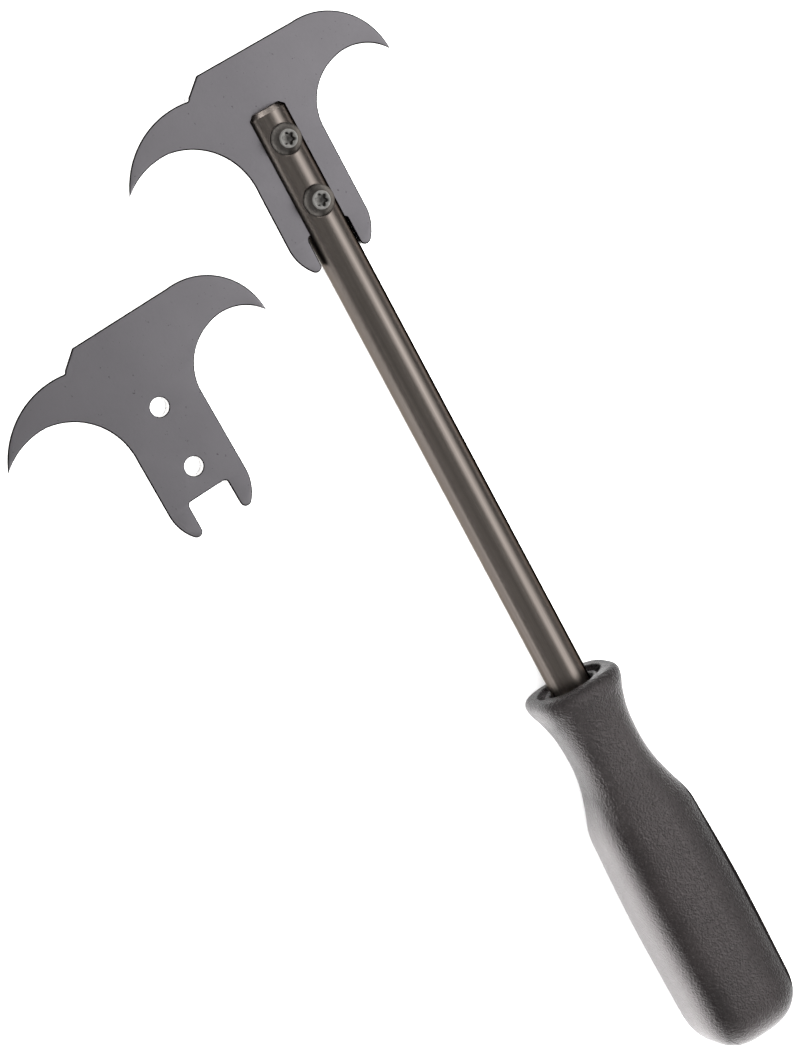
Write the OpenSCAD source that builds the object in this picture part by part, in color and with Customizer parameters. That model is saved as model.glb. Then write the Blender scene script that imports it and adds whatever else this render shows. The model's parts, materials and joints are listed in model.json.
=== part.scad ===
// Seal puller: a two-hook flat blade screwed into the slotted end of a round
// steel shank with a moulded plastic grip, lying on a bench beside a spare blade.
// Tool frame: x runs along the shank from the butt of the grip to the blade,
// y points to the large hook, z stands square on the blade.
// Bench frame: z = 0 is the bench, the origin is under the middle of the layout.

/* [Shank] */
// Diameter of the shank
shank_d = 12.7; // [11.5:0.1:13]
// Length of shank that stands out of the grip
shank_out = 191.9; // [150:0.1:260]
// Length of shank held inside the grip
shank_in = 90; // [70:1:100]
// Chamfer on the blade end of the shank
end_chamfer = 1.4; // [0.5:0.1:2]
// Depth of the blade slot, from the blade end
slot_depth = 38.8; // [38.8:0.1:42]
// Width across the two pressed wings that lock the shank in the grip
wing_span = 17; // [14:0.5:20]
// Length of the wings
wing_len = 14; // [8:1:20]
// Thickness of the wings
wing_t = 3; // [2:0.5:5]

/* [Blade] */
// Thickness of each blade
blade_t = 4; // [3:0.1:4.2]
// How far the front edge stands ahead of the end of the shank
blade_ahead = 17.7; // [16:0.1:20]
// Width of the waist behind the hooks
waist_w = 26.9; // [24:0.1:28]
// How far the outline stands off the line of the holes, towards the large hook
outline_shift = 0.3; // [0:0.1:0.4]
// How far the two legs reach back from the end of the shank
leg_back = 48.5; // [48:0.1:52]
// Width of the notch between the legs
notch_w = 13.6; // [13.4:0.1:15]
// How far the floor of the notch lies back from the end of the shank
notch_back = 38.5; // [37.5:0.1:38.5]
// Diameter of the two screw holes
hole_d = 5.8; // [5.5:0.1:6.5]
// How far the first hole lies back from the end of the shank
hole_back = 10.2; // [9:0.1:11]
// Distance between the two holes
hole_pitch = 20; // [16:0.5:22]

/* [Screws] */
// Diameter of the screw shank
screw_d = 5; // [4:0.1:5.2]
// Length of the screw under its head
screw_len = 12; // [11.5:0.1:12]
// Diameter of the head
head_d = 9.5; // [8.5:0.1:10]
// Height of the straight rim of the head
head_rim = 0.9; // [0.5:0.1:1.5]
// Whole height of the head
head_h = 3; // [2.5:0.1:3.5]
// Diameter of the flat on top of the head
head_flat_d = 5.4; // [5:0.1:6]
// Diameter across the points of the six-lobe recess
recess_d = 3.9; // [3:0.1:4.5]
// Depth of the six-lobe recess
recess_depth = 1.6; // [1:0.1:2]
// Depth of the flat seat cut into the shank under each head
seat_depth = 0.65; // [0.5:0.05:1]

/* [Grip] */
// Length of the grip
grip_len = 123.4; // [115:0.1:140]
// Width across the flat sides of the grip at its widest
grip_w = 32.7; // [32:0.1:38]
// How square the section is: 2 is round, larger is squarer
squareness = 3.2; // [2:0.1:4]
// Diameter of the open mouth around the shank
mouth_d = 20.8; // [20:0.1:22]
// Depth of the groove inside the mouth
groove_depth = 3.2; // [2:0.1:5]

/* [Layout on the bench] */
// Place of the middle of the spare blade's hole pair along the bench
spare_x = 78.4; // [60:0.1:95]
// Place of the spare blade's hole pair across the bench
spare_y = 30.6; // [28:0.1:45]
// Turn of the spare blade on the bench
spare_turn = 2; // [0:0.5:3]
// Place of the tool's axis across the bench
tool_y = -37; // [-45:0.5:-36]

/* [Hidden] */
$fn = 64;

// Clearances: screw in its tapped hole, blade in its slot, shank in the grip
thread_gap = 0.03;
slot_gap = 0.05;
grip_gap = 0.05;
// Clearance hole in the near cheek of the shank, wider than the screw
cheek_hole_gap = 0.15;
seat_gap = 0.2;
eps = 0.01;

shank_r = shank_d / 2;
shank_end = grip_len + shank_out;
shank_start = grip_len - shank_in;
total_len = shank_end + blade_ahead;
first_hole_x = shank_end - hole_back;
second_hole_x = first_hole_x - hole_pitch;
seat_z = shank_r - seat_depth;

// Wings start this far along the shank from its hidden end
wing_offset = 12;

// Half-widths of the grip, as a share of its largest half-width, at shares of its length
grip_profile = [
    [0.128, 0.982], [0.375, 1.000], [0.570, 0.957], [0.632, 0.925], [0.692, 0.792],
    [0.752, 0.682], [0.812, 0.644], [0.880, 0.671], [0.932, 0.757], [0.962, 0.838], [0.981, 0.860]
];
// The butt is a quarter of a superellipse up to the first profile point,
// and the lip a quarter ellipse down to this share past the last one
butt_power = 2.4;
lip_drop = 0.12;
grip_sides = 40;
butt_rings = 7;
lip_rings = 5;
rings_per_span = 3;

// Catmull-Rom curve through the profile points
function along(p0, p1, p2, p3, t) = 0.5 * (2 * p1 + (p2 - p0) * t
    + (2 * p0 - 5 * p1 + 4 * p2 - p3) * t * t
    + (3 * p1 - p0 - 3 * p2 + p3) * t * t * t);

function body_rings() = let (p = grip_profile, last = len(p) - 1) [
    for (i = [0 : last - 1])
        for (k = [0 : rings_per_span - 1])
            along(p[max(i - 1, 0)], p[i], p[i + 1], p[min(i + 2, last)], k / rings_per_span)
];

function butt_ring_list() = let (first = grip_profile[0]) [
    for (k = [1 : butt_rings - 1])
        let (a = 90 * k / butt_rings)
            [first[0] * (1 - cos(a)), first[1] * pow(1 - pow(cos(a), butt_power), 1 / butt_power)]
];

function lip_ring_list() = let (last = grip_profile[len(grip_profile) - 1]) [
    for (k = [0 : lip_rings])
        let (a = 90 * k / lip_rings)
            [last[0] + (1 - last[0]) * sin(a), last[1] - lip_drop * (1 - cos(a))]
];

// Every ring of the grip as [x, half-width] in millimetres, from the butt to the lip
grip_rings = [
    for (r = concat(butt_ring_list(), body_rings(), lip_ring_list()))
        [r[0] * grip_len, r[1] * grip_w / 2]
];

// One point of the rounded-square section of half-width a at angle g
function section_point(a, g) = let (
        s = pow(pow(abs(cos(g)), squareness) + pow(abs(sin(g)), squareness), -1 / squareness)
    ) [a * s * cos(g), a * s * sin(g)];

// The tool rests on the fullest ring of its grip and on the edge of the shank's chamfer
heel_x = shank_end - end_chamfer;
rest_tilt = max([for (r = grip_rings) if (r[0] < heel_x) atan2(r[1] - shank_r, heel_x - r[0])]);
butt_height = heel_x * sin(rest_tilt) + shank_r * cos(rest_tilt);

module on_bench() {
    translate([-total_len / 2, tool_y, butt_height])
        rotate([0, rest_tilt, 0])
            children();
}

// Arc of radius r from a to b, without b. A positive r bulges to the right of the way from a to b.
function arc(a, b, r, steps = 12) = let (
        chord = b - a,
        half = norm(chord) / 2,
        side = [chord[1], -chord[0]] / norm(chord),
        centre = (a + b) / 2 - side * sign(r) * sqrt(r * r - half * half),
        start = atan2(a[1] - centre[1], a[0] - centre[0]),
        turn = 2 * asin(half / abs(r)) * sign(r)
    ) [for (k = [0 : steps - 1]) centre + abs(r) * [cos(start + turn * k / steps), sin(start + turn * k / steps)]];

// Blade outline, x from the end of the shank and y to the large hook, counter-clockwise
half_waist = waist_w / 2;
half_notch = notch_w / 2;
small_tip = [-3, -42.3];
small_kink = [2.5, -25];
small_waist = [-12.3, -half_waist];
large_tip = [-3.1, 47.6];
large_kink = [2.2, 31.4];
large_waist = [-21.7, half_waist];
leg_shoulder = -39.2;
leg_heel = [-leg_back + 0.4, 10];
leg_inner = [-leg_back + 1.5, half_notch];
notch_fillet = 1.2;

blade_outline = concat(
    // Front edge, the rounded corner of the step and the fillet under it
    arc([blade_ahead, 12.5], [blade_ahead - 0.7, 13.9], 1.2, 4),
    arc([blade_ahead - 4.4, 18.4], [blade_ahead - 5.1, 19.5], -0.8, 4),
    // Large hook: back, then its ground inner edge, then the sweep into the waist
    arc([blade_ahead - 5.1, 19.5], large_tip, 26.1, 18),
    arc(large_tip, large_kink, -22.4, 12),
    arc(large_kink, large_waist, -21.4, 14),
    // Large-hook leg
    arc([leg_shoulder, half_waist], leg_heel, 14.1, 6),
    arc(leg_heel, leg_inner, 1.85, 6),
    // Notch
    arc([-notch_back - notch_fillet, half_notch], [-notch_back, half_notch - notch_fillet], -notch_fillet, 5),
    arc([-notch_back, notch_fillet - half_notch], [-notch_back - notch_fillet, -half_notch], -notch_fillet, 5),
    // Small-hook leg
    arc([leg_inner[0], -leg_inner[1]], [leg_heel[0], -leg_heel[1]], 1.85, 6),
    arc([leg_heel[0], -leg_heel[1]], [leg_shoulder, -half_waist], 14.1, 6),
    // Small hook: sweep out of the waist, ground inner edge, back
    arc(small_waist, small_kink, -16.3, 12),
    arc(small_kink, small_tip, -14.8, 10),
    arc(small_tip, [blade_ahead, -18.4], 21, 16)
);

// A blade lying on its middle plane, with the end of the shank at x = 0
module blade_plate() {
    difference() {
        translate([0, outline_shift, -blade_t / 2])
            linear_extrude(height = blade_t)
                polygon(blade_outline);
        for (k = [0, 1])
            translate([-hole_back - k * hole_pitch, 0, -blade_t])
                cylinder(h = 2 * blade_t, d = hole_d);
    }
}

module fitted_blade() {
    color("#77757a")
        on_bench()
            translate([shank_end, 0, 0])
                blade_plate();
}

module spare_blade() {
    color("#77757a")
        translate([spare_x, spare_y, blade_t / 2])
            rotate([0, 0, spare_turn])
                translate([hole_back + hole_pitch / 2, 0, 0])
                    blade_plate();
}

// Round bar along x from x0 to x1
module bar(x0, x1, d) {
    translate([x0, 0, 0])
        rotate([0, 90, 0])
            cylinder(h = x1 - x0, d = d);
}

// The wings, larger all round by gap
module wings(gap) {
    translate([shank_start + wing_offset - gap, -wing_span / 2 - gap, -wing_t / 2 - gap])
        cube([wing_len + 2 * gap, wing_span + 2 * gap, wing_t + 2 * gap]);
}

module shank() {
    color("#6b645f")
        on_bench()
            difference() {
                union() {
                    bar(shank_start, heel_x, shank_d);
                    translate([heel_x, 0, 0])
                        rotate([0, 90, 0])
                            cylinder(h = end_chamfer, d1 = shank_d, d2 = shank_d - 2 * end_chamfer);
                    wings(0);
                }
                // Slot for the blade, open at the end and at both sides
                translate([shank_end - slot_depth, -shank_d, -blade_t / 2 - slot_gap])
                    cube([slot_depth + 1, 2 * shank_d, blade_t + 2 * slot_gap]);
                for (x = [first_hole_x, second_hole_x]) {
                    // Clearance hole in the near cheek
                    translate([x, 0, 0])
                        cylinder(h = shank_d, d = screw_d + 2 * cheek_hole_gap);
                    // Tapped hole in the far cheek
                    translate([x, 0, -shank_d])
                        cylinder(h = shank_d + eps, d = screw_d + 2 * thread_gap);
                    // Flat seat under the head
                    translate([x, 0, seat_z])
                        cylinder(h = shank_d, d = head_d + 2 * seat_gap);
                }
            }
}

// Six-lobe recess: a round core with six round points
module recess() {
    lobe_r = recess_d * 0.11;
    core_r = recess_d * 0.36;
    linear_extrude(height = recess_depth + 1)
        union() {
            circle(r = core_r);
            for (k = [0 : 5])
                rotate(60 * k)
                    translate([recess_d / 2 - lobe_r, 0])
                        circle(r = lobe_r, $fn = 24);
        }
}

// Button-head screw with the underside of its head at z = 0
module button_screw() {
    head_r = head_d / 2;
    flat_r = head_flat_d / 2;
    dome_steps = 6;
    dome_swell = 0.55;
    difference() {
        union() {
            rotate_extrude()
                polygon(concat(
                    [[0, 0], [head_r, 0], [head_r, head_rim]],
                    [for (k = [1 : dome_steps]) let (t = k / dome_steps)
                        [head_r + (flat_r - head_r) * t,
                            head_rim + (head_h - head_rim) * t * (1 + dome_swell * (1 - t))]],
                    [[0, head_h]]
                ));
            translate([0, 0, -screw_len])
                cylinder(h = screw_len + eps, d = screw_d);
        }
        translate([0, 0, head_h - recess_depth])
            recess();
    }
}

module front_screw() {
    color("#8a8478")
        on_bench()
            translate([first_hole_x, 0, seat_z])
                button_screw();
}

module rear_screw() {
    color("#8a8478")
        on_bench()
            translate([second_hole_x, 0, seat_z])
                button_screw();
}

// Outer skin of the grip, a stack of rounded-square rings closed by two flat ends
module grip_skin() {
    rings = len(grip_rings);
    butt_tip = rings * grip_sides;
    lip_middle = butt_tip + 1;
    points = concat(
        [for (r = grip_rings) for (k = [0 : grip_sides - 1])
            let (q = section_point(r[1], 360 * k / grip_sides)) [r[0], q[0], q[1]]],
        [[0, 0, 0], [grip_len, 0, 0]]
    );
    walls = [
        for (i = [0 : rings - 2]) for (k = [0 : grip_sides - 1])
            let (n = (k + 1) % grip_sides)
                [i * grip_sides + k, (i + 1) * grip_sides + k, (i + 1) * grip_sides + n, i * grip_sides + n]
    ];
    butt = [for (k = [0 : grip_sides - 1]) [butt_tip, k, (k + 1) % grip_sides]];
    lip = [for (k = [0 : grip_sides - 1])
        [lip_middle, (rings - 1) * grip_sides + (k + 1) % grip_sides, (rings - 1) * grip_sides + k]];
    polyhedron(points = points, faces = concat(walls, butt, lip), convexity = 6);
}

// Room inside the mouth: a wide step, an outer groove and a gap around the shank,
// which leave a raised ring between them
module mouth_room() {
    step_depth = 1.2;
    ring_outer_d = 17.4;
    ring_inner_d = 14.6;
    bar(grip_len - step_depth, grip_len + 1, mouth_d);
    bar(grip_len - groove_depth, grip_len + 1, ring_inner_d);
    difference() {
        bar(grip_len - groove_depth, grip_len + 1, mouth_d);
        bar(grip_len - groove_depth - 1, grip_len + 2, ring_outer_d);
    }
}

module grip() {
    color("#2c2a2b")
        on_bench()
            difference() {
                grip_skin();
                bar(shank_start - grip_gap, grip_len + 1, shank_d + 2 * grip_gap);
                wings(grip_gap);
                mouth_room();
            }
}

grip();
shank();
fitted_blade();
front_screw();
rear_screw();
spare_blade();
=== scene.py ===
import json
import math
import bpy
import bmesh
from mathutils import Matrix, Vector


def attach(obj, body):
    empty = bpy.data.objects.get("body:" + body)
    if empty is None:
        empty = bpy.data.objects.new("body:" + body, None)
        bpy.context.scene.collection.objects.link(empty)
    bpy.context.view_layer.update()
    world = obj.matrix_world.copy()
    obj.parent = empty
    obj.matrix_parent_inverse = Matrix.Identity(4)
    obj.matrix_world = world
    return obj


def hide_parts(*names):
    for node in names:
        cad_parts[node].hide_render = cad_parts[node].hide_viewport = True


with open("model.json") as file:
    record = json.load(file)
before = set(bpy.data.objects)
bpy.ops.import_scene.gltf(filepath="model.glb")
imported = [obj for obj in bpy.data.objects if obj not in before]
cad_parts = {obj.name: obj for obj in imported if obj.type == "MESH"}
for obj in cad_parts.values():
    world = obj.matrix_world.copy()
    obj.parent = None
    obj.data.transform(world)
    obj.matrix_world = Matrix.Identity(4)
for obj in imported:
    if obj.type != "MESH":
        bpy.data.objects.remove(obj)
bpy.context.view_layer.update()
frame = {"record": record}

# Looks of a hook-type seal puller and its spare blade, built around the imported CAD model.
# Pieces are modelled in millimetres in the tool's own frame (x along the shank from the butt of the
# grip, y to the large hook, z square on the blade) and placed by one matrix per frame.

MM = 0.001

# ---------------------------------------------------------------- dimensions, in millimetres
SHANK_R = 6.35
SHANK_START = 33.4
SHANK_END = 315.3
SHANK_CHAMFER = 1.4
SLOT_DEPTH = 38.8
SLOT_WIDTH = 4.1
SEAT_Z = 5.7
SEAT_R = 4.95
CHEEK_HOLE_R = 2.65
TAPPED_HOLE_R = 2.53
WING_SPAN = 17.0
WING_THICK = 3.0
WING_FROM = 45.4
WING_TO = 59.4

BLADE_THICK = 4.0
BLADE_AHEAD = 17.7
BLADE_EDGE = 0.38
HALF_WAIST = 13.45
HALF_NOTCH = 6.8
LEG_BACK = 48.5
NOTCH_BACK = 38.5
HOLE_R = 2.9
HOLE_BACK = 10.2
HOLE_PITCH = 20.0
OUTLINE_SHIFT = 0.3
SPARE_TURN = math.radians(2)

HEAD_R = 4.75
HEAD_RIM = 0.9
HEAD_H = 3.0
HEAD_FLAT_R = 2.7
SCREW_R = 2.5
SCREW_LEN = 12.0

GRIP_LEN = 123.4
GRIP_HALF = 16.35
GRIP_SQUARENESS = 3.2
MOUTH_R = 10.4
CLIP_FROM_BUTT = 220.0


# ---------------------------------------------------------------- frames
def mount(name):
    return next(m for m in frame["record"]["mounts"] if m["name"] == name)


def tool_matrix():
    """Places millimetres of the tool's own frame in the bench frame, from the mount on the shank's axis."""
    clip = mount("shank_clip")
    along = Vector(clip["axis"]).normalized()
    across = Vector((0, 1, 0))
    square = along.cross(across).normalized()
    m = Matrix((along, across, square)).transposed().to_4x4()
    m.translation = Vector(clip["pos_m"]) - along * CLIP_FROM_BUTT * MM
    return m


def spare_matrix():
    """Places a blade, x from the end of the shank, flat on the bench at the spare blade's holes."""
    holes = Vector(mount("spare_blade_holes")["pos_m"])
    middle_back = HOLE_BACK + HOLE_PITCH / 2
    middle = Matrix.Translation((holes.x, holes.y, BLADE_THICK / 2 * MM))
    return middle @ Matrix.Rotation(SPARE_TURN, 4, "Z") @ Matrix.Translation((middle_back * MM, 0, 0))


TOOL = tool_matrix()
BLADE_ON_TOOL = TOOL @ Matrix.Translation((SHANK_END * MM, 0, 0))


# ---------------------------------------------------------------- mesh helpers
def new_piece(name, bm, place, node, body, material, sharp_deg=35):
    """Turns a bmesh in millimetres into a finished piece that stands for a CAD node."""
    bmesh.ops.scale(bm, vec=(MM, MM, MM), verts=bm.verts)
    bmesh.ops.recalc_face_normals(bm, faces=bm.faces)
    mesh = bpy.data.meshes.new(name)
    bm.to_mesh(mesh)
    bm.free()
    piece = bpy.data.objects.new(name, mesh)
    bpy.context.scene.collection.objects.link(piece)
    piece.matrix_world = place
    mesh.shade_smooth()
    mesh.set_sharp_from_angle(angle=math.radians(sharp_deg))
    mesh.materials.append(material)
    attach(piece, body)
    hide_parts(node)
    return piece


def loft(bm, rings):
    """Skins a list of rings of equal length with quads and closes both ends with fans."""
    made = [[bm.verts.new(p) for p in ring] for ring in rings]
    n = len(made[0])
    for a, b in zip(made, made[1:]):
        for k in range(n):
            bm.faces.new((a[k], a[(k + 1) % n], b[(k + 1) % n], b[k]))
    for ring in (made[0], made[-1]):
        middle = bm.verts.new(sum((v.co for v in ring), Vector()) / n)
        for k in range(n):
            bm.faces.new((ring[k], ring[(k + 1) % n], middle))


def circle(n, phase=0.0):
    return [math.tau * (k + phase) / n for k in range(n)]


def x_ring(x, radius, angles):
    """A ring around the x axis. radius is a number or a function of the angle from the y axis."""
    r = radius if callable(radius) else (lambda a: radius)
    return [Vector((x, r(a) * math.cos(a), r(a) * math.sin(a))) for a in angles]


def z_ring(z, radius, angles):
    r = radius if callable(radius) else (lambda a: radius)
    return [Vector((r(a) * math.cos(a), r(a) * math.sin(a), z)) for a in angles]


# ---------------------------------------------------------------- grip
# Half-widths of the grip, as a share of its largest half-width, at shares of its length
GRIP_PROFILE = [
    (0.128, 0.982), (0.375, 1.000), (0.570, 0.957), (0.632, 0.925), (0.692, 0.792),
    (0.752, 0.682), (0.812, 0.644), (0.880, 0.671), (0.932, 0.757), (0.962, 0.838),
    (0.981, 0.860),
]
BUTT_POWER = 2.4
LIP_DROP = 0.12
SEAM_DEPTH = 0.35
SEAM_LENGTH = 9.0
SEAM_HALF_ANGLE = math.radians(1.1)
SEAM_ANGLES = (math.radians(45), math.radians(225))


def catmull(p0, p1, p2, p3, t):
    return 0.5 * (2 * p1 + (p2 - p0) * t + (2 * p0 - 5 * p1 + 4 * p2 - p3) * t * t
                  + (3 * p1 - p0 - 3 * p2 + p3) * t ** 3)


def grip_outline():
    """(x, half-width) of the outer skin from the butt to the lip, in millimetres."""
    first, last = GRIP_PROFILE[0], GRIP_PROFILE[-1]
    out = []
    butt_rings, span_rings, lip_rings = 22, 12, 12
    for k in range(1, butt_rings):
        a = math.pi / 2 * k / butt_rings
        rise = (1 - math.cos(a) ** BUTT_POWER) ** (1 / BUTT_POWER)
        out.append((first[0] * (1 - math.cos(a)), first[1] * rise))
    for i in range(len(GRIP_PROFILE) - 1):
        points = [Vector(GRIP_PROFILE[min(max(j, 0), len(GRIP_PROFILE) - 1)]) for j in range(i - 1, i + 3)]
        for k in range(span_rings):
            out.append(tuple(catmull(*points, k / span_rings)))
    for k in range(lip_rings + 1):
        a = math.pi / 2 * k / lip_rings
        out.append((last[0] + (1 - last[0]) * math.sin(a), last[1] - LIP_DROP * (1 - math.cos(a))))
    return [(x * GRIP_LEN, w * GRIP_HALF) for x, w in out]


def squircle(half, power):
    """Radius of a rounded square of that half-width, as a function of the angle."""
    return lambda a: half * (abs(math.cos(a)) ** power + abs(math.sin(a)) ** power) ** (-1 / power)


def with_seam(radius, depth):
    """Sinks a fine line of that depth into the skin along each mould seam."""
    def r(a):
        near = min(abs((a - s + math.pi) % math.tau - math.pi) for s in SEAM_ANGLES)
        return radius(a) - depth * max(0.0, 1 - near / SEAM_HALF_ANGLE)
    return r


def grip_angles(n):
    """Even angles with extra ones beside each mould seam."""
    out = circle(n)
    for s in SEAM_ANGLES:
        out += [s - SEAM_HALF_ANGLE, s, s + SEAM_HALF_ANGLE]
    kept = []
    for a in sorted(out):
        if not kept or a - kept[-1] > 1e-4:
            kept.append(a)
    return kept


def wing_radius(clear):
    """Radius of the shank's section at the wings, or of the room for them."""
    half_span, half_thick = WING_SPAN / 2 + clear, WING_THICK / 2 + clear

    def r(a):
        c, s = abs(math.cos(a)), abs(math.sin(a))
        box = min(half_span / max(c, 1e-9), half_thick / max(s, 1e-9))
        return max(SHANK_R + clear, box)
    return r


def build_grip(material):
    angles = grip_angles(176)
    rings = []
    for x, half in grip_outline():
        seam = SEAM_DEPTH * min(1.0, max(0.0, 1.5 - 1.5 * x / SEAM_LENGTH))
        rings.append(x_ring(x, with_seam(squircle(half, GRIP_SQUARENESS), seam), angles))
    lip_half = grip_outline()[-1][1]
    # Flat front face, turning from the squared lip to the round mouth
    steps = 4
    edge = 0.45
    for k in range(1, steps + 1):
        t = k / steps
        mix = squircle(lip_half, GRIP_SQUARENESS)
        rings.append(x_ring(GRIP_LEN, lambda a, t=t: (1 - t) * mix(a) + t * (MOUTH_R + edge), angles))
    # Rounded mouth edge, step, outer groove, raised ring, gap around the shank, bore
    for k in range(1, 4):
        a = math.pi / 2 * k / 3
        rings.append(x_ring(GRIP_LEN - edge * (1 - math.cos(a)), MOUTH_R + edge * (1 - math.sin(a)), angles))
    groove_floor, ring_top = GRIP_LEN - 3.2, GRIP_LEN - 1.2
    ring_out, ring_in, bore = 8.7, 7.3, SHANK_R + 0.05
    soft = 0.25
    for x, r in (
            (groove_floor + soft, MOUTH_R), (groove_floor, MOUTH_R - soft), (groove_floor, ring_out + soft),
            (groove_floor + soft, ring_out), (ring_top - soft, ring_out), (ring_top, ring_out - soft),
            (ring_top, ring_in + soft), (ring_top - soft, ring_in), (groove_floor, ring_in),
            (groove_floor, bore), (WING_TO + 0.05, bore)):
        rings.append(x_ring(x, r, angles))
    rings.append(x_ring(WING_TO + 0.05, wing_radius(0.05), angles))
    rings.append(x_ring(WING_FROM - 0.05, wing_radius(0.05), angles))
    rings.append(x_ring(WING_FROM - 0.05, bore, angles))
    rings.append(x_ring(SHANK_START - 0.05, bore, angles))
    bm = bmesh.new()
    loft(bm, rings)
    return new_piece("grip_moulding", bm, TOOL, "grip", "tool", material, 50)


# ---------------------------------------------------------------- blades
def arc(a, b, r, steps):
    """Points of an arc of radius r from a to b, without b; a positive r bulges right of the way."""
    a, b = Vector(a), Vector(b)
    chord = b - a
    half = chord.length / 2
    side = Vector((chord.y, -chord.x)).normalized()
    centre = (a + b) / 2 - side * math.copysign(math.sqrt(r * r - half * half), r)
    start = math.atan2(a.y - centre.y, a.x - centre.x)
    turn = math.copysign(2 * math.asin(half / abs(r)), r)
    return [centre + abs(r) * Vector((math.cos(start + turn * k / steps), math.sin(start + turn * k / steps)))
            for k in range(steps)]


SMALL_TIP = (-3, -42.3)
LARGE_TIP = (-3.1, 47.6)


def blade_outline():
    """Counter-clockwise, x from the end of the shank and y to the large hook."""
    small_kink, small_waist = (2.5, -25), (-12.3, -HALF_WAIST)
    large_kink, large_waist = (2.2, 31.4), (-21.7, HALF_WAIST)
    shoulder, heel, inner = -39.2, (-LEG_BACK + 0.4, 10), (-LEG_BACK + 1.5, HALF_NOTCH)
    fillet = 1.2
    front, step_foot = (BLADE_AHEAD, 12.5), (BLADE_AHEAD - 5.1, 19.5)
    return (
        arc(front, (BLADE_AHEAD - 0.7, 13.9), 1.2, 6)
        + arc((BLADE_AHEAD - 4.4, 18.4), step_foot, -0.8, 6)
        + arc(step_foot, LARGE_TIP, 26.1, 40)
        + arc(LARGE_TIP, large_kink, -22.4, 26)
        + arc(large_kink, large_waist, -21.4, 30)
        + arc((shoulder, HALF_WAIST), heel, 14.1, 12)
        + arc(heel, inner, 1.85, 8)
        + arc((-NOTCH_BACK - fillet, HALF_NOTCH), (-NOTCH_BACK, HALF_NOTCH - fillet), -fillet, 6)
        + arc((-NOTCH_BACK, fillet - HALF_NOTCH), (-NOTCH_BACK - fillet, -HALF_NOTCH), -fillet, 6)
        + arc((inner[0], -inner[1]), (heel[0], -heel[1]), 1.85, 8)
        + arc((heel[0], -heel[1]), (shoulder, -HALF_WAIST), 14.1, 12)
        + arc(small_waist, small_kink, -16.3, 24)
        + arc(small_kink, SMALL_TIP, -14.8, 20)
        + arc(SMALL_TIP, (BLADE_AHEAD, -18.4), 21, 34)
    )


def inset(points, depth):
    """Moves an outline inwards. depth is a function of the point, so that sharp tips keep their form."""
    n = len(points)
    out = []
    for k, p in enumerate(points):
        before = (p - points[k - 1]).normalized()
        after = (points[(k + 1) % n] - p).normalized()
        left = Vector((-before.y, before.x)) + Vector((-after.y, after.x))
        share = max(left.length / 2, 0.2)
        out.append(p + left.normalized() * depth(p) / share)
    return out


def edge_depth(p):
    """Width of the rounded edge, which thins out towards the hook tips."""
    near = min((p - Vector(t)).length for t in (SMALL_TIP, LARGE_TIP))
    return BLADE_EDGE * min(1.0, 0.12 + near / 5.0)


def build_blade(name, place, node, body, material):
    outline = blade_outline()
    half = BLADE_THICK / 2
    edge_steps = 3
    hole_points = 64
    hole_edge = 0.25
    bm = bmesh.new()

    def levels(edge):
        """(share of the edge depth, height) down the side of the plate."""
        rows = []
        for k in range(edge_steps + 1):
            a = math.pi / 2 * k / edge_steps
            rows.append((1 - math.sin(a), half - edge * (1 - math.cos(a))))
        return rows + [(s, -z) for s, z in reversed(rows)]

    def skin(rows):
        n = len(rows[0])
        for a, b in zip(rows, rows[1:]):
            for k in range(n):
                bm.faces.new((a[k], a[(k + 1) % n], b[(k + 1) % n], b[k]))

    rows = []
    for share, z in levels(BLADE_EDGE):
        points = inset(outline, lambda p: edge_depth(p) * share) if share > 1e-6 else outline
        rows.append([bm.verts.new((p.x, p.y + OUTLINE_SHIFT, z)) for p in points])
    skin(rows)
    caps = [[rows[0]], [rows[-1]]]
    for k in range(2):
        x = -HOLE_BACK - k * HOLE_PITCH
        hole = []
        for share, z in levels(hole_edge):
            ring = z_ring(z, HOLE_R + hole_edge * share, circle(hole_points))
            hole.append([bm.verts.new((p.x + x, p.y, p.z)) for p in ring])
        skin([list(reversed(r)) for r in hole])
        caps[0].append(hole[0])
        caps[1].append(hole[-1])
    for loops in caps:
        edges = []
        for loop in loops:
            edges += [bm.edges.get((loop[k], loop[(k + 1) % len(loop)])) for k in range(len(loop))]
        bmesh.ops.triangle_fill(bm, use_beauty=True, use_dissolve=False, edges=edges)
    piece = new_piece(name, bm, place, node, body, material, 40)
    weighted = piece.modifiers.new("flat faces", "WEIGHTED_NORMAL")
    weighted.keep_sharp = True
    return piece


# ---------------------------------------------------------------- shank
def cutter(name, bm):
    mesh = bpy.data.meshes.new(name)
    bmesh.ops.recalc_face_normals(bm, faces=bm.faces)
    bm.to_mesh(mesh)
    bm.free()
    obj = bpy.data.objects.new(name, mesh)
    bpy.context.scene.collection.objects.link(obj)
    return obj


def box_bm(low, high):
    bm = bmesh.new()
    bmesh.ops.create_cube(bm, size=1)
    low, high = Vector(low), Vector(high)
    for v in bm.verts:
        v.co = Vector((c * s for c, s in zip(v.co, high - low))) + (low + high) / 2
    return bm


def rod_bm(x, z0, z1, r, n=96):
    bm = bmesh.new()
    loft(bm, [[p + Vector((x, 0, 0)) for p in z_ring(z, r, circle(n, 0.5))] for z in (z0, z1)])
    return bm


def cut(target, cutters):
    """Applies boolean cuts and returns the result as a bmesh."""
    for c in cutters:
        mod = target.modifiers.new(c.name, "BOOLEAN")
        mod.operation = "DIFFERENCE"
        mod.solver = "EXACT"
        mod.object = c
    bpy.context.view_layer.update()
    evaluated = target.evaluated_get(bpy.context.evaluated_depsgraph_get())
    bm = bmesh.new()
    bm.from_mesh(evaluated.to_mesh())
    evaluated.to_mesh_clear()
    for o in [target, *cutters]:
        mesh = o.data
        bpy.data.objects.remove(o)
        bpy.data.meshes.remove(mesh)
    return bm


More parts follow.
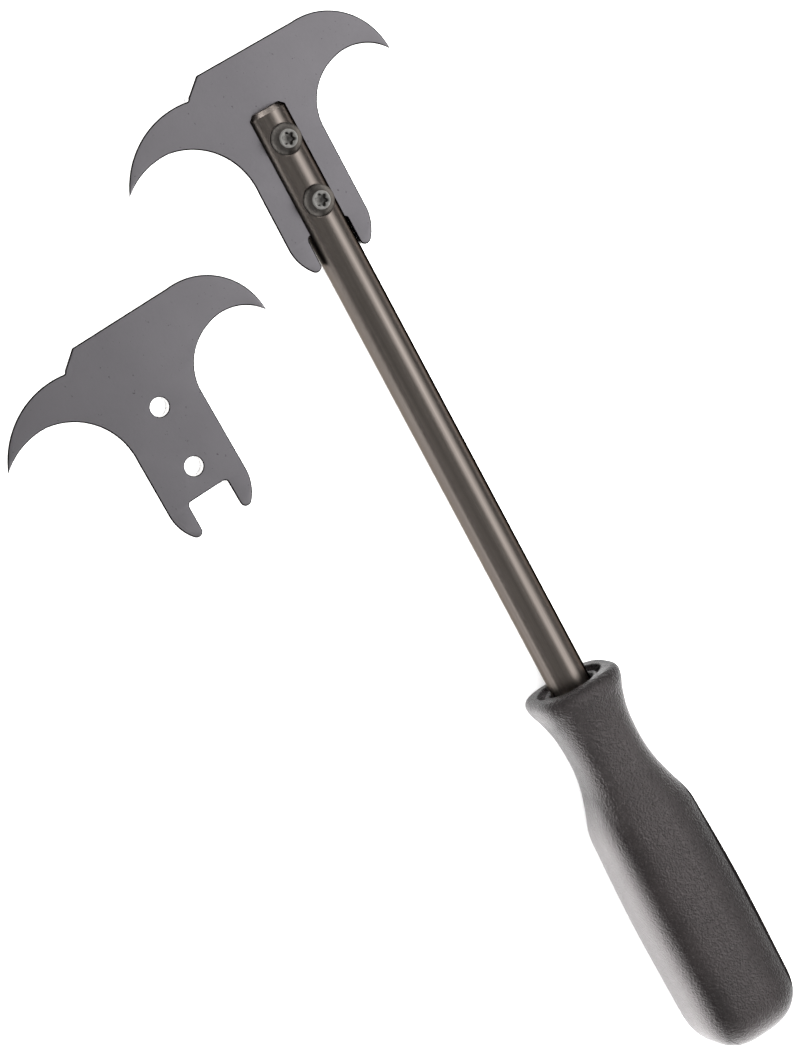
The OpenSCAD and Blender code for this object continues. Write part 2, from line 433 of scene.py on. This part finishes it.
def build_shank(material):
    angles = circle(160)
    inner = 0.5
    rings = [
        x_ring(SHANK_START, SHANK_R - inner, angles), x_ring(SHANK_START + inner, SHANK_R, angles),
        x_ring(WING_FROM, SHANK_R, angles), x_ring(WING_FROM, wing_radius(0), angles),
        x_ring(WING_TO, wing_radius(0), angles), x_ring(WING_TO, SHANK_R, angles),
        x_ring(SHANK_END - SHANK_CHAMFER, SHANK_R, angles),
        x_ring(SHANK_END, SHANK_R - SHANK_CHAMFER, angles),
    ]
    bm = bmesh.new()
    loft(bm, rings)
    blank = cutter("shank_blank", bm)
    past, ahead = 20, 5
    slot_low = (SHANK_END - SLOT_DEPTH, -past, -SLOT_WIDTH / 2)
    slot_high = (SHANK_END + ahead, past, SLOT_WIDTH / 2)
    tools = [cutter("slot", box_bm(slot_low, slot_high))]
    for k in range(2):
        x = SHANK_END - HOLE_BACK - k * HOLE_PITCH
        tools.append(cutter(f"near_hole_{k}", rod_bm(x, 0, past, CHEEK_HOLE_R)))
        tools.append(cutter(f"far_hole_{k}", rod_bm(x, -past, 0, TAPPED_HOLE_R)))
        tools.append(cutter(f"seat_{k}", rod_bm(x, SEAT_Z, past, SEAT_R)))
    bm = cut(blank, tools)
    bmesh.ops.remove_doubles(bm, verts=bm.verts, dist=1e-4)
    piece = new_piece("shank_bar", bm, TOOL, "shank", "tool", material, 30)
    bevel = piece.modifiers.new("broken edges", "BEVEL")
    bevel.width = 0.14 * MM
    bevel.segments = 2
    bevel.limit_method = "ANGLE"
    bevel.angle_limit = math.radians(32)
    bevel.harden_normals = False
    weighted = piece.modifiers.new("flat faces", "WEIGHTED_NORMAL")
    weighted.keep_sharp = True
    return piece


# ---------------------------------------------------------------- screws
RECESS_MEAN_R = 1.60
RECESS_WAVE = 0.27
RECESS_DEPTH = 1.6
RECESS_CORE_R = 0.55


def six_lobes(a):
    """Six round points with narrow waists between them."""
    wave = math.cos(6 * a)
    return RECESS_MEAN_R + RECESS_WAVE * (wave + 0.18 * (1 - wave * wave))


def build_screw(name, along, node, body, material):
    angles = circle(144)
    rings = []
    tip = 0.5
    rings.append(z_ring(-SCREW_LEN, SCREW_R - tip, angles))
    rings.append(z_ring(-SCREW_LEN + tip, SCREW_R, angles))
    rings.append(z_ring(0, SCREW_R, angles))
    rim = 0.18
    rings.append(z_ring(0, HEAD_R - rim, angles))
    rings.append(z_ring(rim, HEAD_R, angles))
    rings.append(z_ring(HEAD_RIM - rim, HEAD_R, angles))
    rings.append(z_ring(HEAD_RIM, HEAD_R - rim * 0.35, angles))
    # Dome: a shallow arc from the rim up to a crisp step around the flat
    dome_steps, bulge = 12, 0.13
    start, end = Vector((HEAD_R - rim, HEAD_RIM + 0.12)), Vector((HEAD_FLAT_R + 0.1, HEAD_H - 0.14))
    out = Vector((end.y - start.y, start.x - end.x)).normalized()
    for k in range(dome_steps + 1):
        t = k / dome_steps
        p = start.lerp(end, t) + out * bulge * 4 * t * (1 - t)
        rings.append(z_ring(p.y, p.x, angles))
    flat_in = RECESS_MEAN_R + RECESS_WAVE + 0.22
    rings.append(z_ring(HEAD_H - 0.02, HEAD_FLAT_R, angles))
    rings.append(z_ring(HEAD_H, HEAD_FLAT_R - 0.12, angles))
    rings.append(z_ring(HEAD_H, flat_in, angles))
    rings.append(z_ring(HEAD_H - 0.08, lambda a: six_lobes(a) + 0.1, angles))
    rings.append(z_ring(HEAD_H - 0.2, six_lobes, angles))
    rings.append(z_ring(HEAD_H - RECESS_DEPTH + 0.15, six_lobes, angles))
    rings.append(z_ring(HEAD_H - RECESS_DEPTH, lambda a: six_lobes(a) * 0.92, angles))
    rings.append(z_ring(HEAD_H - RECESS_DEPTH - 0.1, RECESS_CORE_R, angles))
    rings.append(z_ring(HEAD_H - RECESS_DEPTH - 0.3, RECESS_CORE_R * 0.3, angles))
    bm = bmesh.new()
    loft(bm, rings)
    place = TOOL @ Matrix.Translation((along * MM, 0, SEAT_Z * MM))
    return new_piece(name, bm, place, node, body, material, 40)


# ---------------------------------------------------------------- materials
class Nodes:
    """A short way to build one node material."""

    def __init__(self, name):
        self.material = bpy.data.materials.new(name)
        self.material.use_nodes = True
        self.tree = self.material.node_tree
        self.shader = self.tree.nodes["Principled BSDF"]

    def add(self, kind, inputs=None, **settings):
        node = self.tree.nodes.new(kind)
        for key, value in settings.items():
            setattr(node, key, value)
        for key, value in (inputs or {}).items():
            self.put(node.inputs[key], value)
        return node

    def put(self, socket, value):
        if isinstance(value, bpy.types.NodeSocket):
            self.tree.links.new(value, socket)
        else:
            socket.default_value = value

    def set(self, **values):
        for key, value in values.items():
            self.put(self.shader.inputs[key.replace("_", " ")], value)

    def object_coords(self, scale):
        """Object coordinates in metres, stretched per axis."""
        coords = self.add("ShaderNodeTexCoord")
        mapping = self.add("ShaderNodeMapping", {"Vector": coords.outputs["Object"], "Scale": scale})
        return mapping.outputs["Vector"]

    def noise(self, vector, scale, detail=3.0, roughness=0.5):
        node = self.add("ShaderNodeTexNoise", {"Vector": vector, "Scale": scale, "Detail": detail,
                                               "Roughness": roughness})
        return node.outputs["Fac"]

    def ramp(self, value, stops):
        node = self.add("ShaderNodeValToRGB", {"Fac": value})
        elements = node.color_ramp.elements
        while len(elements) < len(stops):
            elements.new(0.5)
        for element, (position, colour) in zip(elements, stops):
            element.position = position
            element.color = (*colour, 1) if len(colour) == 3 else colour
        return node.outputs["Color"]

    def scale_value(self, value, low, high):
        node = self.add("ShaderNodeMapRange", {"Value": value, "To Min": low, "To Max": high})
        return node.outputs["Result"]

    def mix_colour(self, factor, a, b, blend="MIX"):
        node = self.add("ShaderNodeMix", data_type="RGBA", blend_type=blend)
        self.put(node.inputs[0], factor)
        self.put(node.inputs[6], a)
        self.put(node.inputs[7], b)
        return node.outputs[2]

    def bump(self, height, strength, distance, normal=None):
        inputs = {"Height": height, "Strength": strength, "Distance": distance}
        if normal is not None:
            inputs["Normal"] = normal
        return self.add("ShaderNodeBump", inputs).outputs["Normal"]


PEBBLE_SCALE = 1600.0
PEBBLE_HEIGHT = 0.00023
GRAIN_SCALE = 2300.0
GRAIN_HEIGHT = 0.00019


def grip_plastic():
    m = Nodes("moulded black plastic")
    coords = m.object_coords((1, 1, 1))
    warp = m.add("ShaderNodeTexNoise", {"Vector": coords, "Scale": 520.0, "Detail": 2.0})
    warped = m.add("ShaderNodeVectorMath", {0: warp.outputs["Color"]}, operation="SCALE")
    warped.inputs["Scale"].default_value = 0.0011
    moved = m.add("ShaderNodeVectorMath", {0: coords, 1: warped.outputs[0]}, operation="ADD").outputs[0]
    pebbles = m.add("ShaderNodeTexVoronoi", {"Vector": moved, "Scale": PEBBLE_SCALE}, feature="SMOOTH_F1")
    pebbles.inputs["Smoothness"].default_value = 0.5
    grain = m.noise(coords, GRAIN_SCALE, 3.0, 0.6)
    normal = m.bump(pebbles.outputs["Distance"], 1.0, PEBBLE_HEIGHT)
    normal = m.bump(grain, 1.0, GRAIN_HEIGHT, normal)
    cloud = m.noise(coords, 60.0, 3.0)
    tone = m.ramp(cloud, [(0.3, (0.0042, 0.0036, 0.0036)), (0.7, (0.0070, 0.0058, 0.0058))])
    # Painted sheen and shade: specular level set by place across the grip, standing in for the studio light.
    # It is not a real change of finish.
    place = m.add("ShaderNodeSeparateXYZ", {"Vector": coords})
    side = m.add("ShaderNodeMapRange", {"Value": place.outputs["Y"], "From Min": -GRIP_HALF * MM,
                                        "From Max": GRIP_HALF * MM})
    painted_sheen = m.ramp(side.outputs["Result"], [(at, (grey, grey, grey)) for at, grey in (
        (0.09, 0.0), (0.22, 0.35), (0.40, 1.0), (0.70, 0.95), (0.86, 0.3), (0.97, 1.0))])
    # Painted shade: lower specular level on the front face of the collar, standing in for the light in the
    # same way
    front = m.add("ShaderNodeMapRange", {"Value": place.outputs["X"], "From Max": GRIP_LEN * MM})
    painted_collar_shade = m.ramp(front.outputs["Result"], [(0.975, (1.0, 1.0, 1.0)), (0.995, (0.3, 0.3, 0.3))])
    painted_sheen = m.mix_colour(1.0, painted_sheen, painted_collar_shade, "MULTIPLY")
    m.set(Base_Color=tone, Normal=normal, IOR=1.6, Specular_IOR_Level=painted_sheen)
    m.set(Specular_Tint=(1.0, 0.92, 0.92, 1))
    m.set(Roughness=m.scale_value(m.noise(coords, 900.0, 2.0), 0.29, 0.40))
    return m.material


def blade_steel():
    m = Nodes("blade steel")
    coords = m.object_coords((1, 1, 1))
    cloud = m.noise(coords, 35.0, 4.0)
    speck = m.noise(coords, 1400.0, 2.0)
    tone = m.ramp(cloud, [(0.3, (0.181, 0.173, 0.184)), (0.7, (0.202, 0.193, 0.205))])
    pits = m.ramp(m.noise(coords, 800.0, 3.0, 0.7), [(0.27, (0.55, 0.55, 0.55)), (0.33, (1.0, 1.0, 1.0))])
    tone = m.mix_colour(1.0, tone, pits, "MULTIPLY")
    # Dark rounded edges with almost no reflection, and bright cut sides
    height = m.add("ShaderNodeSeparateXYZ", {"Vector": coords}).outputs["Z"]
    height = m.add("ShaderNodeMath", {0: height}, operation="ABSOLUTE").outputs[0]
    share = m.add("ShaderNodeMapRange", {"Value": height, "From Max": BLADE_THICK / 2 * MM}).outputs["Result"]
    edge_from = 1 - BLADE_EDGE / (BLADE_THICK / 2)
    dark_edge_band = m.ramp(share, [(0.0, (0, 0, 0)), (edge_from - 0.02, (0, 0, 0)), (edge_from + 0.02, (1, 1, 1)),
                           (0.994, (1, 1, 1)), (0.998, (0, 0, 0))])
    tone = m.mix_colour(dark_edge_band, tone, (0.012, 0.011, 0.011, 1))
    cut = m.ramp(share, [(0.0, (1, 1, 1)), (edge_from - 0.02, (1, 1, 1)), (edge_from + 0.02, (0, 0, 0))])
    m.set(Metallic=1.0, Base_Color=m.mix_colour(cut, tone, (0.6, 0.59, 0.58, 1)))
    m.set(Specular_Tint=m.mix_colour(dark_edge_band, (1, 1, 1, 1), (0.03, 0.03, 0.03, 1)))
    m.set(Roughness=m.scale_value(speck, 0.30, 0.38))
    m.set(Normal=m.bump(speck, 0.25, 0.00003))
    return m.material


def shank_steel():
    m = Nodes("shank steel")
    whole = m.add("ShaderNodeTexCoord").outputs["Object"]
    streaks = m.noise(m.object_coords((14, 900, 900)), 1.0, 4.0, 0.6)
    wide_streaks = m.noise(m.object_coords((5, 260, 260)), 1.0, 2.0, 0.5)
    cloud = m.noise(m.object_coords((1, 1, 1)), 45.0, 4.0)
    tone = m.ramp(streaks, [(0.3, (0.27, 0.235, 0.21)), (0.7, (0.41, 0.36, 0.325))])
    tone = m.mix_colour(m.scale_value(cloud, 0.0, 0.4), tone, (0.24, 0.207, 0.19, 1))
    tone = m.mix_colour(m.scale_value(wide_streaks, 0.0, 0.4), tone, (0.215, 0.18, 0.163, 1))
    # Painted light and shade: tone by place across the shank, with dark sides and a painted highlight streak,
    # standing in for the studio light. It is not a real change of finish.
    side = m.add("ShaderNodeSeparateXYZ", {"Vector": whole}).outputs["Y"]
    side = m.add("ShaderNodeMapRange", {"Value": side, "From Min": -SHANK_R * MM, "From Max": SHANK_R * MM})
    painted_shade_across = m.ramp(side.outputs["Result"], [(at, (grey, grey, grey)) for at, grey in (
        (0.0, 0.02), (0.08, 0.09), (0.22, 0.40), (0.36, 0.60), (0.44, 0.88), (0.52, 0.70),
        (0.62, 0.95), (0.80, 0.95), (0.88, 0.58), (0.94, 0.28), (1.0, 0.22))])
    m.set(Metallic=1.0, Base_Color=m.mix_colour(1.0, tone, painted_shade_across, "MULTIPLY"))
    # Painted shade of reflections: specular tint by place across the shank, nearly black on the side away
    # from the lit floor
    painted_reflection_across = m.ramp(side.outputs["Result"], [
        (0.0, (0.02, 0.02, 0.02)), (0.2, (0.15, 0.14, 0.13)),
        (0.4, (0.7, 0.66, 0.63)), (1.0, (0.6, 0.57, 0.54))])
    m.set(Specular_Tint=painted_reflection_across)
    m.set(Roughness=m.scale_value(streaks, 0.26, 0.38))
    m.set(Normal=m.bump(streaks, 0.3, 0.00004))
    return m.material


def screw_steel():
    m = Nodes("screw steel")
    coords = m.add("ShaderNodeTexCoord").outputs["Object"]
    parts = m.add("ShaderNodeSeparateXYZ", {"Vector": coords})
    flat = m.add("ShaderNodeCombineXYZ", {"X": parts.outputs["X"], "Y": parts.outputs["Y"]}).outputs[0]
    radius = m.add("ShaderNodeVectorMath", {0: flat}, operation="LENGTH").outputs["Value"]
    turned = m.add("ShaderNodeTexNoise", {"W": radius, "Scale": 9000.0, "Detail": 2.0}, noise_dimensions="1D")
    tone = m.ramp(turned.outputs["Fac"], [(0.3, (0.72, 0.72, 0.72)), (0.7, (1.0, 1.0, 1.0))])
    share = m.add("ShaderNodeMapRange", {"Value": radius, "From Min": 0.0, "From Max": HEAD_R * MM})
    # Bare polished face in the middle, dark oxide on the cone around it
    face = m.ramp(share.outputs["Result"], [
        (0.0, (0.16, 0.155, 0.145)), (0.40, (0.31, 0.305, 0.29)), (0.56, (0.32, 0.315, 0.30)),
        (0.60, (0.13, 0.12, 0.11)), (0.92, (0.145, 0.135, 0.125)), (1.0, (0.06, 0.055, 0.05))])
    m.set(Metallic=1.0, Base_Color=m.mix_colour(1.0, face, tone, "MULTIPLY"))
    m.set(Specular_Tint=(0.4, 0.38, 0.36, 1))
    m.set(Roughness=m.scale_value(m.noise(coords, 1500.0), 0.36, 0.50))
    m.set(Normal=m.bump(turned.outputs["Fac"], 0.35, 0.00003))
    return m.material


def pale_floor():
    m = Nodes("pale bench")
    cloud = m.noise(m.object_coords((1, 1, 1)), 3.0)
    m.set(Base_Color=m.ramp(cloud, [(0.3, (0.86, 0.86, 0.86)), (0.7, (0.9, 0.9, 0.9))]), Roughness=0.9)
    return m.material


# ---------------------------------------------------------------- studio
def build_floor():
    bm = bmesh.new()
    bmesh.ops.create_grid(bm, x_segments=2, y_segments=2, size=4.0)
    mesh = bpy.data.meshes.new("bench_top")
    bm.to_mesh(mesh)
    bm.free()
    floor = bpy.data.objects.new("bench_top", mesh)
    bpy.context.scene.collection.objects.link(floor)
    floor.location.z = -0.0001
    mesh.materials.append(pale_floor())


def soft_light(name, place, aim, size, power, in_reflections=True):
    data = bpy.data.lights.new(name, "AREA")
    data.shape = "RECTANGLE"
    data.size, data.size_y = size
    data.energy = power
    light = bpy.data.objects.new(name, data)
    bpy.context.scene.collection.objects.link(light)
    light.location = place
    light.rotation_euler = (Vector(aim) - Vector(place)).to_track_quat("-Z", "Y").to_euler()
    light.visible_glossy = in_reflections


def build_lights():
    world = bpy.data.worlds.new("studio")
    bpy.context.scene.world = world
    world.use_nodes = True
    world.node_tree.nodes["Background"].inputs["Color"].default_value = (1, 1, 1, 1)
    world.node_tree.nodes["Background"].inputs["Strength"].default_value = 0.24
    soft_light("floor_wash", (0, 0, 2.6), (0, 0, 0), (3.5, 3.5), 330, in_reflections=False)
    soft_light("overhead_box", (-0.15, -1.0, 1.45), (0, 0, 0), (1.7, 1.3), 12.0)
    soft_light("left_key", (0.9, 1.5, 0.9), (0, 0, 0), (1.2, 0.8), 30, in_reflections=False)


CAMERA_PLACE = (0.30265, 0.31612, 1.17115)
CAMERA_FORWARD = (-0.22635, -0.26626, -0.93695)
CAMERA_UP = (0.86278, -0.50124, -0.06599)
CAMERA_LENS = 191.1
SENSOR_WIDTH = 36.0


def build_camera():
    data = bpy.data.cameras.new("camera")
    data.sensor_fit = "HORIZONTAL"
    data.sensor_width = SENSOR_WIDTH
    data.lens = CAMERA_LENS
    camera = bpy.data.objects.new("camera", data)
    bpy.context.scene.collection.objects.link(camera)
    forward = Vector(CAMERA_FORWARD).normalized()
    right = forward.cross(Vector(CAMERA_UP)).normalized()
    up = right.cross(forward)
    m = Matrix((right, up, -forward)).transposed().to_4x4()
    m.translation = CAMERA_PLACE
    camera.matrix_world = m
    bpy.context.scene.camera = camera


build_camera()
build_lights()
build_floor()
bpy.context.scene.view_settings.view_transform = "Standard"

blade_finish = blade_steel()
screw_finish = screw_steel()
build_grip(grip_plastic())
build_shank(shank_steel())
build_blade("fitted_hook_blade", BLADE_ON_TOOL, "fitted_blade", "tool", blade_finish)
build_blade("spare_hook_blade", spare_matrix(), "spare_blade", "spare_blade", blade_finish)
build_screw("front_button_screw", SHANK_END - HOLE_BACK, "front_screw", "front_screw", screw_finish)
build_screw("rear_button_screw", SHANK_END - HOLE_BACK - HOLE_PITCH, "rear_screw", "rear_screw", screw_finish)
